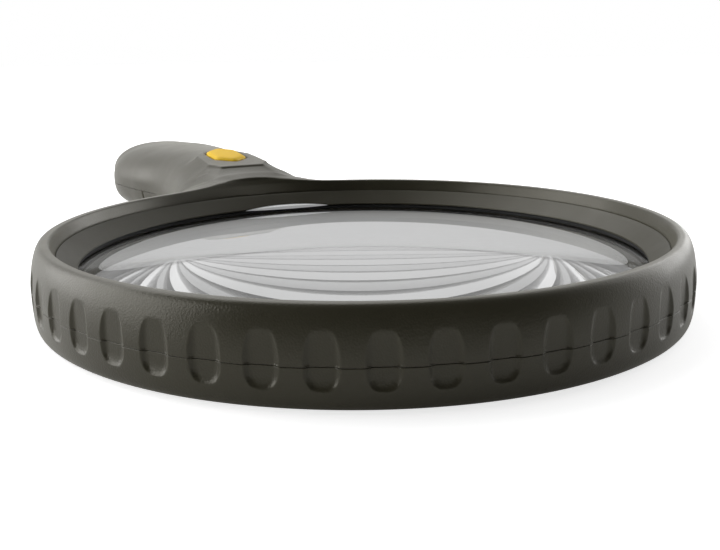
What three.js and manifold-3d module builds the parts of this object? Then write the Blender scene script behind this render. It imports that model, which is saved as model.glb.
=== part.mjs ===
// Hand-held reading magnifier with LED light: a large round lens in a two-part rim, a bulbous battery
// handle, a push button, and a battery door at the butt.
//
// Millimetres, +Z up. Everything is drawn about the lens axis, with the handle along +Y and the rim's
// flat underside at z = 0. The outer group then moves the part so that its origin is the middle of its base.
import * as THREE from 'three';
import { mergeVertices } from 'three/addons/utils/BufferGeometryUtils.js';
import Module from 'manifold-3d';

const wasm = await Module();
wasm.setup();

// ---- driving dimensions ----
const RIM_R = 81;              // outer radius of the rim at its fullest
const RIM_H = 19.7;            // height of the rim's lip
const RIM_WAIST = 10;          // height at which the rim is fullest
const HANDLE_END = 209.5;      // from the lens axis to the butt of the handle
const RIM_SEAM = 8.8;          // parting plane of the two housings, around the rim
const HANDLE_SEAM = 11;        // parting plane of the two housings, in the handle
const GAP = 0.3;               // clearance between separate pieces
const WALL = 2;                // wall thickness of the housings
const LENS_R = 73;             // outer radius of the lens
const LENS_EDGE = [8, 10.6];   // lower and upper height of the lens edge
const LEDGE_Z = 7.5;           // height of the ledge that carries the lens
const LENS_TOP_R = 560;        // radius of curvature of the upper face
const LENS_BASE_R = 1500;      // radius of curvature of the lower face
const VIEW_R = 70.3;           // radius of the clear view through the bezel
const BEZEL_R = 74.8;          // outer radius of the bezel ring
const BEZEL_TOP = 16.4;        // height of the bezel's outer edge
const BEZEL_BASE = 12.4;       // height of the bezel's underside
const POCKET_PITCH = 7.7;      // degrees between the finger pockets around the rim
const POCKET_OFFSET = -1.8;    // degrees from the front of the rim to the middle pocket
const POCKETS_EACH_SIDE = 19;
const POCKET_DEPTH = 0.75;
const WINDOW_TURN = -6.7;      // degrees from the handle's centre line to the light window
const DOOR_FRONT = 141;        // from the lens axis to the battery door's front edge
const CELL_R = 5.1;            // radius of an AAA cell
const CELL_L = 43.5;           // its length without the positive cap
const CELL_CAP = 1;            // height of the positive cap
const CELL_Z = 12;             // height of the cells' axes
const CELL_PITCH = 11;         // distance between the cells' axes
const BAY_FRONT = 144.2;       // face of the front contacts, from the lens axis
const BAY_REAR = 193.4;        // face of the rear contacts, from the lens axis
const BUTTON_Y = 104.5;        // from the lens axis to the middle of the push button
const BUTTON_TILT = 6;         // degrees, the slope of the handle's top at the button
const RIM_STEPS = 72;          // facets around the rim

const rad = THREE.MathUtils.degToRad;

// ---- shape helpers ----
function solid(geometry) {
  const bare = geometry.clone();
  for (const name of Object.keys(bare.attributes)) {
    if (name !== 'position') bare.deleteAttribute(name);
  }
  const merged = mergeVertices(bare, 1e-4);
  const vertProperties = new Float32Array(merged.attributes.position.array);
  const triVerts = new Uint32Array(merged.index.array);
  return new wasm.Manifold(new wasm.Mesh({ numProp: 3, vertProperties, triVerts }));
}

function toGeometry(manifold) {
  const mesh = manifold.getMesh();
  const geometry = new THREE.BufferGeometry();
  geometry.setAttribute('position', new THREE.BufferAttribute(mesh.vertProperties, 3));
  geometry.setIndex(new THREE.BufferAttribute(mesh.triVerts, 1));
  return geometry;
}

function joined(...solids) {
  return solids.reduce((total, next) => total.add(next));
}

function without(base, ...tools) {
  return tools.reduce((left, tool) => left.subtract(tool), base);
}

// Closed outline of [radius, height] points, anticlockwise, revolved about the Z axis.
function revolved(outline, steps = RIM_STEPS) {
  const points = outline.map(([r, z]) => new THREE.Vector2(r, z));
  if (outline[0][0] > 0) points.push(points[0].clone());
  return new THREE.LatheGeometry(points, steps).rotateX(Math.PI / 2);
}

function block(width, depth, height, x, y, z) {
  return new THREE.BoxGeometry(width, depth, height).translate(x, y, z + height / 2);
}

function post(radius, z0, z1, x = 0, y = 0, sides = 16) {
  const geometry = new THREE.CylinderGeometry(radius, radius, z1 - z0, sides).rotateX(Math.PI / 2);
  return geometry.translate(x, y, (z0 + z1) / 2);
}

// Part of a flat ring, from r0 to r1 and z0 to z1, centred on the +Y direction.
function ringSector(r0, r1, z0, z1, halfAngle) {
  const shape = new THREE.Shape();
  const start = rad(90 - halfAngle);
  const end = rad(90 + halfAngle);
  shape.absarc(0, 0, r1, start, end, false);
  shape.absarc(0, 0, r0, end, start, true);
  const options = { depth: z1 - z0, bevelEnabled: false, curveSegments: 8 };
  return new THREE.ExtrudeGeometry(shape, options).translate(0, 0, z0);
}

// Skin over a list of loops with the same number of points, closed by a fan at each end.
function lofted(loops) {
  const sides = loops[0].length;
  const positions = [];
  const index = [];
  for (const loop of loops) {
    for (const point of loop) positions.push(point.x, point.y, point.z);
  }
  for (let i = 0; i + 1 < loops.length; i += 1) {
    for (let j = 0; j < sides; j += 1) {
      const a = i * sides + j;
      const b = i * sides + ((j + 1) % sides);
      index.push(a, b, b + sides, a, b + sides, a + sides);
    }
  }
  for (const [loop, first, flip] of [[loops[0], 0, true], [loops.at(-1), (loops.length - 1) * sides, false]]) {
    const centre = loop.reduce((sum, p) => sum.add(p), new THREE.Vector3()).divideScalar(sides);
    const hub = positions.length / 3;
    positions.push(centre.x, centre.y, centre.z);
    for (let j = 0; j < sides; j += 1) {
      const a = first + j;
      const b = first + ((j + 1) % sides);
      index.push(...(flip ? [hub, b, a] : [hub, a, b]));
    }
  }
  const geometry = new THREE.BufferGeometry();
  geometry.setAttribute('position', new THREE.Float32BufferAttribute(positions, 3));
  geometry.setIndex(index);
  return geometry;
}

// Tube of round section along a smooth curve through the points.
function tube(points, radius, sides = 8, steps = 24) {
  const curve = new THREE.CatmullRomCurve3(points.map((p) => new THREE.Vector3(...p)));
  return tubeAlong(curve, radius, sides, steps);
}

function tubeAlong(curve, radius, sides, steps) {
  const section = new THREE.Shape();
  for (let i = 0; i < sides; i += 1) {
    const angle = (i / sides) * 2 * Math.PI;
    const move = i === 0 ? 'moveTo' : 'lineTo';
    section[move](radius * Math.cos(angle), radius * Math.sin(angle));
  }
  return new THREE.ExtrudeGeometry(section, { steps, extrudePath: curve, bevelEnabled: false });
}

// Conical or straight coil spring along Z, as the tube around a helix.
class Helix extends THREE.Curve {
  constructor(r0, r1, z0, z1, turns) {
    super();
    Object.assign(this, { r0, r1, z0, z1, turns });
  }

  getPoint(t, target = new THREE.Vector3()) {
    const angle = 2 * Math.PI * this.turns * t;
    const radius = THREE.MathUtils.lerp(this.r0, this.r1, t);
    const height = THREE.MathUtils.lerp(this.z0, this.z1, t);
    return target.set(radius * Math.cos(angle), radius * Math.sin(angle), height);
  }
}

function spring(r0, r1, z0, z1, turns, wire) {
  return tubeAlong(new Helix(r0, r1, z0, z1, turns), wire, 6, turns * 8);
}

// ---- handle form ----
// Piecewise smooth value at y through [y, value] stations.
function through(stations, y) {
  const last = stations.length - 1;
  if (y <= stations[0][0]) return stations[0][1];
  if (y >= stations[last][0]) return stations[last][1];
  const slope = (i) => {
    if (i === 0 || i === last) return 0;
    return (stations[i + 1][1] - stations[i - 1][1]) / (stations[i + 1][0] - stations[i - 1][0]);
  };
  const i = stations.findIndex((station) => station[0] > y) - 1;
  const span = stations[i + 1][0] - stations[i][0];
  const t = (y - stations[i][0]) / span;
  const h0 = stations[i][1];
  const h1 = stations[i + 1][1];
  const m0 = slope(i) * span;
  const m1 = slope(i + 1) * span;
  return h0 + m0 * t + (3 * (h1 - h0) - 2 * m0 - m1) * t ** 2 + (2 * (h0 - h1) + m0 + m1) * t ** 3;
}

const HALF_WIDTH = [
  [70, 40.7], [76, 32.5], [88, 25], [100, 21], [115, 19], [130, 19.5], [150, 23.2], [170, 25.3], [188, 21.4],
];
const TOP_HEIGHT = [[78, 21.2], [92, 23.6], [105, 25.6], [120, 26.3], [140, 26], [165, 25.4], [188, 24.8]];
const BUTT_LENGTH = 26;        // length over which the butt rounds off
const BUTT_POWER = 2.2;
const SECTION_POWER = 2.3;

// Loop of points around the handle at y, drawn in by the inset all round.
function handleLoop(y, inset = 0, sides = 36) {
  const end = HANDLE_END - inset;
  const into = THREE.MathUtils.clamp((y - (end - BUTT_LENGTH)) / BUTT_LENGTH, 0, 1);
  const shrink = (1 - into ** BUTT_POWER) ** (1 / BUTT_POWER);
  const halfWidth = (through(HALF_WIDTH, y) - inset) * shrink;
  const top = through(TOP_HEIGHT, y) - inset;
  const middle = (top + inset) / 2;
  const halfHeight = (middle - inset) * shrink;
  const loop = [];
  for (let i = 0; i < sides; i += 1) {
    const angle = (i / sides) * 2 * Math.PI;
    const c = Math.cos(angle);
    const s = Math.sin(angle);
    const k = (Math.abs(c) ** SECTION_POWER + Math.abs(s) ** SECTION_POWER) ** (-1 / SECTION_POWER);
    loop.push(new THREE.Vector3(-halfWidth * k * c, y, middle + halfHeight * k * s));
  }
  return loop;
}

function handleForm(from, inset = 0) {
  const straight = 11;
  const rounded = 7;
  const shoulder = HANDLE_END - inset - BUTT_LENGTH;
  const loops = [];
  for (let i = 0; i <= straight; i += 1) {
    loops.push(handleLoop(THREE.MathUtils.lerp(from, shoulder, i / straight), inset));
  }
  for (let i = 1; i <= rounded; i += 1) {
    const last = i === rounded ? 0.9985 : 1;
    loops.push(handleLoop(shoulder + BUTT_LENGTH * Math.sin((i / rounded) * (Math.PI / 2)) * last, inset));
  }
  loops.push(loops.pop().map((p) => new THREE.Vector3(p.x, HANDLE_END - inset, p.z)));
  return lofted(loops);
}

// ---- rim form ----
// Outside of the rim from its base to its lip: two rounded quarters that meet at the waist.
function rimOutside() {
  const outline = [[76.6, 0], [78.2, 0.6]];
  for (const t of [0.12, 0.45, 1]) {
    outline.push([78.2 + (RIM_R - 78.2) * (1 - (1 - t) ** 3) ** (1 / 6), THREE.MathUtils.lerp(0.6, RIM_WAIST, t)]);
  }
  for (const t of [0.45, 0.75, 0.93, 1]) {
    outline.push([77.6 + (RIM_R - 77.6) * (1 - t ** 1.4) ** (1 / 2.4), THREE.MathUtils.lerp(RIM_WAIST, RIM_H, t)]);
  }
  return outline;
}

// The open well above the lens: a steep wall that swells towards the neck of the handle.
function wellCutter() {
  const levels = [[73.6, 8], [73.6, 12.1], [75.1, 12.1], [75.1, 16.7], [76.1, 19.4], [76.5, 25]];
  const loops = levels.map(([r, z]) => {
    const loop = [];
    for (let i = 0; i < RIM_STEPS; i += 1) {
      const angle = (i / RIM_STEPS) * 2 * Math.PI;
      const turn = Math.abs(THREE.MathUtils.radToDeg(Math.atan2(Math.cos(angle), Math.sin(angle))));
      const swell = turn < 22 ? Math.cos(rad((turn / 22) * 90)) ** 2 : 0;
      const reach = r + 4 * swell * THREE.MathUtils.clamp((z - 16.7) / 3, 0, 1);
      loop.push(new THREE.Vector3(reach * Math.cos(angle), reach * Math.sin(angle), z));
    }
    return loop;
  });
  return lofted(loops);
}

// Shallow thumbnail-shaped pockets around the outside of the rim.
function fingerPockets() {
  const cutters = [];
  for (let i = -POCKETS_EACH_SIDE; i <= POCKETS_EACH_SIDE; i += 1) {
    const egg = new THREE.SphereGeometry(1, 8, 5).rotateX(Math.PI / 2).scale(4.4, 1.5, 7.4);
    egg.translate(0, -RIM_R - 1.5 + POCKET_DEPTH, 10.2);
    cutters.push(solid(egg.rotateZ(rad(POCKET_OFFSET + i * POCKET_PITCH))));
  }
  return joined(...cutters);
}

// Everything above the parting plane, which steps up from the rim to the handle behind the neck.
function aboveSeam(lift) {
  const shape = new THREE.Shape();
  shape.moveTo(-90, RIM_SEAM + lift);
  shape.lineTo(86, RIM_SEAM + lift);
  shape.lineTo(104, HANDLE_SEAM + lift);
  shape.lineTo(215, HANDLE_SEAM + lift);
  shape.lineTo(215, 40);
  shape.lineTo(-90, 40);
  const slab = new THREE.ExtrudeGeometry(shape, { depth: 200, bevelEnabled: false });
  const turned = new THREE.Matrix4().makeBasis(
    new THREE.Vector3(0, 1, 0), new THREE.Vector3(0, 0, 1), new THREE.Vector3(1, 0, 0),
  );
  return slab.applyMatrix4(turned).translate(-100, 0, 0);
}

const outerForm = without(
  joined(solid(revolved([[69.9, 0], ...rimOutside(), [69.9, RIM_H]])), solid(handleForm(70))),
  solid(wellCutter()),
  solid(post(LENS_R + GAP, LEDGE_Z, 13, 0, 0, RIM_STEPS)),
  solid(revolved([[0, -5], [72.5, -5], [72.5, 0], [69.9, 6.4], [69.9, LENS_EDGE[0]], [0, LENS_EDGE[0]]])),
  fingerPockets(),
);

// ---- fixings and hollows ----
const SCREW_HEAD_R = 1.9;
const SCREW_R = 1.1;
const SCREW_TURNS = [50, 130, 230, 310];   // places of the rim's screws, in degrees from the handle
const RIM_SCREW_R = 76.2;
const screws = [
  ...SCREW_TURNS.map((turn) => ({
    x: RIM_SCREW_R * Math.sin(rad(turn)), y: RIM_SCREW_R * Math.cos(rad(turn)), head: 0.7, tip: 11.5,
  })),
  { x: -15.5, y: 90, head: 2.2, tip: 17 },
  { x: 15.5, y: 90, head: 2.2, tip: 17 },
  { x: 0, y: 134, head: 0.7, tip: 17 },
];

const handleHollow = solid(handleForm(85.5, WALL));
const rimHollow = solid(revolved([[76.6, 2.4], [78.7, 2.4], [78.7, 16.2], [76.6, 16.2]], RIM_STEPS / 2));
const lightBay = solid(ringSector(74, 88, 12, 16.6, 13).rotateZ(rad(WINDOW_TURN)));
const bosses = joined(...screws.map(({ x, y }) => solid(post(3, 0, 30, x, y, 12))));
const hollow = joined(without(joined(handleHollow, rimHollow), bosses), lightBay);
const screwHoles = joined(...screws.map(({ x, y, head, tip }) => joined(
  solid(post(SCREW_R + GAP, head, tip + 0.2, x, y, 8)),
  solid(post(SCREW_HEAD_R + GAP, -1, head + 1.9, x, y, 12)),
)));

// ---- push button and its switch, drawn upright about the button's own axis ----
const buttonFrame = new THREE.Matrix4()
  .makeTranslation(0, BUTTON_Y, 25.5)
  .multiply(new THREE.Matrix4().makeRotationX(rad(BUTTON_TILT)));

// Long hexagon with rounded corners, grown by the margin.
function buttonOutline(margin = 0) {
  const corners = [[0, 10.4], [5.7, 5.6], [5.7, -5.6], [0, -10.4], [-5.7, -5.6], [-5.7, 5.6]];
  const grown = corners.map(([x, y]) => new THREE.Vector2(x * (1 + margin / 5.7), y * (1 + margin / 8.5)));
  const shape = new THREE.Shape();
  grown.forEach((corner, i) => {
    const before = grown[(i + 5) % 6];
    const after = grown[(i + 1) % 6];
    const start = corner.clone().lerp(before, 0.3);
    const end = corner.clone().lerp(after, 0.3);
    if (i === 0) shape.moveTo(start.x, start.y);
    else shape.lineTo(start.x, start.y);
    shape.quadraticCurveTo(corner.x, corner.y, end.x, end.y);
  });
  return shape;
}

function buttonPlate(margin, z0, z1) {
  const options = { depth: z1 - z0, bevelEnabled: false, curveSegments: 4 };
  return new THREE.ExtrudeGeometry(buttonOutline(margin), options).translate(0, 0, z0);
}

const buttonWell = solid(buttonPlate(0.35, -3.5, 8).applyMatrix4(buttonFrame));
const flangeRoom = solid(buttonPlate(1.7, -6.5, -2.3).applyMatrix4(buttonFrame));

function joinedGeometry(...geometries) {
  return toGeometry(joined(...geometries.map(solid)));
}

// ---- housings and battery door ----
const doorRegion = solid(block(80, 70, 30, 0, DOOR_FRONT + 35 + GAP, HANDLE_SEAM - GAP / 2 - 30));
const upperSide = solid(aboveSeam(GAP / 2));
const lowerLimit = solid(aboveSeam(-GAP / 2));
const openForm = without(outerForm, hollow, screwHoles);

const upperHousing = without(openForm.intersect(upperSide), buttonWell, flangeRoom);
const lowerBlank = without(openForm, lowerLimit);
const lowerHousing = without(lowerBlank, solid(block(80, 70, 60, 0, DOOR_FRONT + 35, -30)));
const doorTongue = joined(
  solid(block(8, 6, 1.5, 0, DOOR_FRONT + 0.5, WALL + 2 * GAP)),
  solid(block(8, 3, 2.9, 0, DOOR_FRONT + 2, 1.2)),
);
const batteryDoor = joined(lowerBlank.intersect(doorRegion), doorTongue);

// ---- optics ----
// Height of a spherical face at a radius from the lens axis, measured from its crown.
function faceDrop(r, curvature) {
  return curvature - Math.sqrt(curvature ** 2 - r ** 2);
}

function lensGeometry() {
  const radii = [0, 18, 36, 54, LENS_R];
  const edgeDropTop = faceDrop(LENS_R, LENS_TOP_R);
  const edgeDropBase = faceDrop(LENS_R, LENS_BASE_R);
  const base = radii.map((r) => [r, LENS_EDGE[0] - edgeDropBase + faceDrop(r, LENS_BASE_R)]);
  const top = radii.map((r) => [r, LENS_EDGE[1] + edgeDropTop - faceDrop(r, LENS_TOP_R)]).reverse();
  return revolved([...base, ...top], 72);
}

const windowArch = ringSector(VIEW_R - 3, BEZEL_R + 2, BEZEL_BASE - 1, BEZEL_BASE + 2.6, 10.5);
const bezelRing = without(
  solid(revolved([[VIEW_R, BEZEL_BASE], [BEZEL_R, BEZEL_BASE], [BEZEL_R, BEZEL_TOP], [VIEW_R, BEZEL_BASE + 0.3]])),
  solid(windowArch.rotateZ(rad(WINDOW_TURN))),
);
const lightWindow = toGeometry(
  solid(ringSector(70.9, 77.5, BEZEL_BASE + 0.1, BEZEL_BASE + 2.3, 10.2)).subtract(
    solid(revolved([[60, BEZEL_BASE], [VIEW_R + 0.6, BEZEL_BASE], [BEZEL_R, BEZEL_TOP - 0.4], [60, BEZEL_TOP]])),
  ),
);

// ---- small parts ----
const ledProfile = [[0, 0], [1.9, 0], [1.9, 0.8], [1.5, 0.8], [1.5, 2.9], [1.06, 3.9], [0, 4.35]];

function led() {
  return revolved(ledProfile, 12).rotateX(Math.PI / 2);
}

// Self-tapping screw, head down, with a cross recess.
function screwGeometry(length) {
  const outline = [
    [0, 0], [SCREW_HEAD_R, 0], [SCREW_HEAD_R, 1], [SCREW_R, 1.6], [SCREW_R, length - 1], [0, length],
  ];
  const recess = joined(solid(block(2.6, 0.6, 1, 0, 0, -0.3)), solid(block(0.6, 2.6, 1, 0, 0, -0.3)));
  return toGeometry(solid(revolved(outline, 12)).subtract(recess));
}

// AAA cell along +Y from its flat end, with the raised positive cap.
function cellGeometry() {
  const tip = CELL_L + CELL_CAP;
  const outline = [[0, 0], [CELL_R, 0], [CELL_R, CELL_L], [1.9, CELL_L], [1.9, tip], [0, tip]];
  return revolved(outline, 18).rotateX(-Math.PI / 2);
}

// Spring contact along +Y from its wide end, which is soldered to the plate.
function cellSpring() {
  return spring(3.1, 2, 0.3, BAY_REAR - BAY_FRONT - CELL_L - CELL_CAP - 3 * GAP, 3, 0.25).rotateX(-Math.PI / 2);
}

// ---- scene graph ----
const plastic = (color, roughness = 0.55) => new THREE.MeshStandardMaterial({ color, roughness, metalness: 0 });
const metal = (color, roughness = 0.35) => new THREE.MeshStandardMaterial({ color, roughness, metalness: 1 });
const rubberised = plastic(0x3d3c33, 0.6);
const nickel = metal(0xc9c8c2);
const moulded = plastic(0x26262a, 0.5);
const circuitGreen = plastic(0x1d5c38, 0.5);
const cellJacket = new THREE.MeshStandardMaterial({ color: 0x2f3f86, roughness: 0.3, metalness: 0.4 });
const clear = new THREE.MeshStandardMaterial({
  color: 0xeef2f3, roughness: 0.03, metalness: 0, transparent: true, opacity: 0.35,
});

// The origin of the finished part is the middle of its base, half way along its length.
const part = new THREE.Group();
const drawing = new THREE.Group();
drawing.position.y = (RIM_R - HANDLE_END) / 2;
part.add(drawing);

function add(name, geometry, material, parent = drawing) {
  const mesh = new THREE.Mesh(geometry, material);
  mesh.name = name;
  parent.add(mesh);
  return mesh;
}

add('upper_housing', toGeometry(upperHousing), rubberised);
add('lower_housing', toGeometry(lowerHousing), rubberised);
add('battery_door', toGeometry(batteryDoor), rubberised);
add('bezel_ring', toGeometry(bezelRing), plastic(0x34332b, 0.5));
add('main_lens', lensGeometry(), clear);
add('lens_gasket', revolved([[71, 11.15], [LENS_R, 10.9], [LENS_R, 12.1], [71, 12.1]], 72), plastic(0x121211, 0.8));

screws.forEach(({ x, y, head, tip }, i) => {
  add(`housing_screw_${i + 1}`, screwGeometry(tip - head), nickel).position.set(x, y, head);
});

const light = new THREE.Group();
light.rotation.z = rad(WINDOW_TURN);
drawing.add(light);
add('light_window', lightWindow, plastic(0xf1f3f2, 0.3), light);
add('led_board', block(22, 1.2, 4.2, 0, 85.2, 12.2), circuitGreen, light);
const resistor = revolved([[0, -3], [1.1, -3], [1.1, 3], [0, 3]], 12).rotateY(Math.PI / 2);
add('light_resistor', resistor.translate(-5, 87.3, 14.3), plastic(0x6fa8c9, 0.5), light);
[-6.5, 0, 6.5].forEach((turn, i) => {
  const lamp = add(`led_${i + 1}`, led(), plastic(0xf6f4e6, 0.15), light);
  lamp.position.set(-84.3 * Math.sin(rad(turn)), 84.3 * Math.cos(rad(turn)), 14.3);
});

const button = new THREE.Group();
button.applyMatrix4(buttonFrame);
drawing.add(button);
const capCore = buttonPlate(0, -4.2, 1);
const capCrown = buttonPlate(-0.8, 0.9, 1.5);
const capFlange = buttonPlate(1.2, -4.2, -2.6);
add('push_button', joinedGeometry(capCore, capCrown, capFlange), plastic(0xf6b62c, 0.4), button);
add('switch_plunger', post(1.5, -10, -4.5, 0, 0, 12), plastic(0xe9e9e4, 0.5), button);
const switchCase = joined(solid(block(8, 8, 5.4, 0, 0, -15.4)), solid(post(2.9, -10.1, -9.4, 0, 0, 12)));
const plungerBore = solid(post(1.5 + GAP, -11.7, -9, 0, 0, 12));
add('switch_body', toGeometry(switchCase.subtract(plungerBore)), moulded, button);
add('switch_spring', spring(2.4, 2.4, -8.9, -4.8, 3, 0.22), metal(0xb9b9b4), button);
add('switch_board', block(15, 19, 1.2, 0, 0, -16.9), circuitGreen, button);

// Three cells side by side, joined in series by sheet-metal contacts on two plastic plates.
const cells = new THREE.Group();
cells.position.z = CELL_Z;
drawing.add(cells);
for (const [i, facesRear] of [false, true, false].entries()) {
  const x = (i - 1) * CELL_PITCH;
  const cell = add(`battery_cell_${i + 1}`, cellGeometry(), cellJacket, cells);
  const contact = add(`cell_spring_${i + 1}`, cellSpring(), nickel, cells);
  cell.position.set(x, facesRear ? BAY_REAR - GAP - CELL_L - CELL_CAP : BAY_FRONT + GAP + CELL_L + CELL_CAP, 0);
  cell.rotation.z = facesRear ? 0 : Math.PI;
  contact.position.set(x, facesRear ? BAY_FRONT : BAY_REAR, 0);
  contact.rotation.z = facesRear ? 0 : Math.PI;
}
const SHEET = 0.4;             // thickness of the contact sheet
const PAD = 5;                 // width of the contact sheet at one cell
const contactSheets = [
  ['positive_contact', PAD, -CELL_PITCH, BAY_FRONT - SHEET / 2],
  ['front_bridge', PAD + CELL_PITCH, CELL_PITCH / 2, BAY_FRONT - SHEET / 2],
  ['rear_bridge', PAD + CELL_PITCH, -CELL_PITCH / 2, BAY_REAR + SHEET / 2],
  ['negative_contact', PAD, CELL_PITCH, BAY_REAR + SHEET / 2],
];
for (const [name, width, x, y] of contactSheets) {
  add(name, block(width, SHEET, 8, x, y, -4), nickel, cells);
}
const PLATE = 1.5;             // thickness of the plates that carry the contacts
const plateStandOff = SHEET + GAP + PLATE / 2;
add('front_contact_plate', block(28, PLATE, 10.4, 0, BAY_FRONT - plateStandOff, -4.5), moulded, cells);
add('rear_contact_plate', block(27, PLATE, 9.6, 0, BAY_REAR + plateStandOff, -4.6), moulded, cells);

// Wiring: cells to switch, switch to light, light back to the cells along the right-hand wall.
const WIRE_R = 0.7;
const redWire = plastic(0xb3261e, 0.5);
const blackWire = plastic(0x1b1b1b, 0.5);
add('wire_battery_to_switch', tube([
  [-12, 141.3, 14], [-11.5, 132, 12], [-9.8, 118, 12], [-5.4, 107, 13.5],
], WIRE_R, 6, 16), redWire);
add('wire_switch_to_light', tube([[5.6, 106, 12.5], [7.5, 98, 13], [8.5, 88.4, 13.5]], WIRE_R, 6, 10), redWire);
add('wire_light_to_battery', tube([
  [11.3, 88.8, 12.5], [10.4, 97, 11.5], [9.6, 108, 12], [9, 120, 14], [9.3, 132, 17], [11.4, 143, 19.2],
  [15.6, 155, 17.2], [17, 170, 17], [16, 185, 16.8], [14.6, 192.6, 14.5],
], WIRE_R, 6, 36), blackWire);

export default part;
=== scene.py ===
import math

import bmesh
import bpy
import numpy as np
from mathutils import Matrix, Vector
from mathutils.geometry import delaunay_2d_cdt


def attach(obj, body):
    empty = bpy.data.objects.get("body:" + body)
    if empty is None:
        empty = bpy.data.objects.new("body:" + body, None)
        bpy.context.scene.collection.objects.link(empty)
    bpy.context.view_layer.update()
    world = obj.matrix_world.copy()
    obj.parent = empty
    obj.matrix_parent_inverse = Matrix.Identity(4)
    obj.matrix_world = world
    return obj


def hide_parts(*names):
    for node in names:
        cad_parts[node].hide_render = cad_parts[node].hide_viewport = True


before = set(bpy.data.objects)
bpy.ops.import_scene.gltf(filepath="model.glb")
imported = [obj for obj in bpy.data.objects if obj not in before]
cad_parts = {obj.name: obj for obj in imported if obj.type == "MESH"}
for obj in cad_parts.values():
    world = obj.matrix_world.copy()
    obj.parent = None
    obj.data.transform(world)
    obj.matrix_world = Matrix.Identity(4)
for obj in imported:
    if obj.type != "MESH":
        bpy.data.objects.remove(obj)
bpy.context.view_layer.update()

# Sizes are in millimetres about the lens axis, with the handle along +Y and z = 0 at the rim's underside.
MM = 0.001
AXIS_Y = -64.25
RIM_RADIUS = 81
CHANNEL_INNER_R, CHANNEL_OUTER_R = 76.6, 78.7
CHANNEL_FLOOR_Z, CHANNEL_ROOF_Z = 2.4, 16.2
HANDLE_END = 209.5
RIM_SEAM = 8.8
HANDLE_SEAM = 11.0
RIM_GAP = 0.06
HANDLE_GAP = 0.22
DOOR_GAP = 0.3
WALL = 2.0
BUTT_LENGTH = 26.0
BUTT_POWER = 2.2
SECTION_POWER = 2.3
UNDERSIDE_POWER = 2.9
HALF_WIDTH = [
    (70, 40.7), (76, 32.5), (88, 25), (100, 21), (115, 19), (130, 19.5), (150, 23.2), (170, 25.3),
    (188, 21.4),
]
TOP_HEIGHT = [(78, 21.2), (92, 24), (105, 26.2), (120, 27.1), (140, 26.8), (165, 26.1), (188, 25.2)]
WINDOW_TURN = 6.7
BUTTON_Y = 104.5
BUTTON_Z = 26.3
BUTTON_TILT = math.radians(6)
BUTTON_COS, BUTTON_SIN = math.cos(BUTTON_TILT), math.sin(BUTTON_TILT)
BUTTON_CORNERS = [(0, 10.4), (-5.7, 5.6), (-5.7, -5.6), (0, -10.4), (5.7, -5.6), (5.7, 5.6)]
POCKET_PITCH = 7.7
POCKET_OFFSET = -1.8
POCKETS_EACH_SIDE = 19
POCKET_HALF_WIDTH = 3.35
POCKET_HALF_HEIGHT = 6.4
POCKET_Z = 10.2
POCKET_FLOOR_R = 80.3
DOOR_LINE = 141.15
NECK_ANGLE = 33.0
HANDLE_SCREWS = [(-15.5, 90.0), (15.5, 90.0), (0.0, 134.0)]
SCREW_BOSS_R = 3
LENS_RADIUS = 73
LENS_TOP_CURVE, LENS_BASE_CURVE = 560, 1500
BEZEL_FOOT_R, BEZEL_FOOT_Z = 70.3, 12.7
BEZEL_WIDTH, BEZEL_RISE = 4.5, 3.7
NET_LOW, NET_HIGH = (-45.2, 56.2, -1.4), (45.8, 211.4, 29.4)
NET_STEP = 0.5


# ---- distance fields ----

def smooth_min(a, b, k):
    h = np.maximum(k - np.abs(a - b), 0) / k
    return np.minimum(a, b) - h * h * k / 4


def smooth_max(a, b, k):
    return -smooth_min(-a, -b, k)


def outline_distance(outline, u, v):
    """Signed distance from points (u, v) to a closed outline, negative inside."""
    best = np.full(u.shape, 1e9)
    inside = np.zeros(u.shape, bool)
    for (au, av), (bu, bv) in zip(outline, outline[1:] + outline[:1]):
        du, dv = bu - au, bv - av
        t = np.clip(((u - au) * du + (v - av) * dv) / max(du * du + dv * dv, 1e-12), 0, 1)
        best = np.minimum(best, (u - au - t * du) ** 2 + (v - av - t * dv) ** 2)
        if abs(dv) > 1e-12:
            inside ^= ((av > v) != (bv > v)) & (u < (v - av) * du / dv + au)
    return np.where(inside, -1, 1) * np.sqrt(best)


class OutlineField:
    """Signed distance to a closed outline, read from a fine grid."""

    def __init__(self, outline, low, high, step=0.15):
        self.low = low
        self.step = step
        u = np.arange(low[0], high[0] + step, step)
        v = np.arange(low[1], high[1] + step, step)
        self.grid = outline_distance(outline, *np.meshgrid(u, v, indexing="ij"))

    def __call__(self, u, v):
        rows, columns = self.grid.shape
        fu = np.clip((u - self.low[0]) / self.step, 0, rows - 1.001)
        fv = np.clip((v - self.low[1]) / self.step, 0, columns - 1.001)
        i, j = fu.astype(int), fv.astype(int)
        fu, fv = fu - i, fv - j
        near = self.grid[i, j] * (1 - fv) + self.grid[i, j + 1] * fv
        far = self.grid[i + 1, j] * (1 - fv) + self.grid[i + 1, j + 1] * fv
        return near * (1 - fu) + far * fu


def lower_rim_curve(steps=60):
    return [(78.2 + 2.8 * (1 - (1 - t) ** 3) ** (1 / 6), 0.6 + 9.4 * t) for t in np.linspace(0, 1, steps) ** 2]


def upper_rim_curve(steps=60):
    return [(77.6 + 3.4 * (1 - t ** 1.4) ** (1 / 2.4), 10 + 9.7 * t) for t in 1 - np.linspace(1, 0, steps) ** 2]


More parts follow.
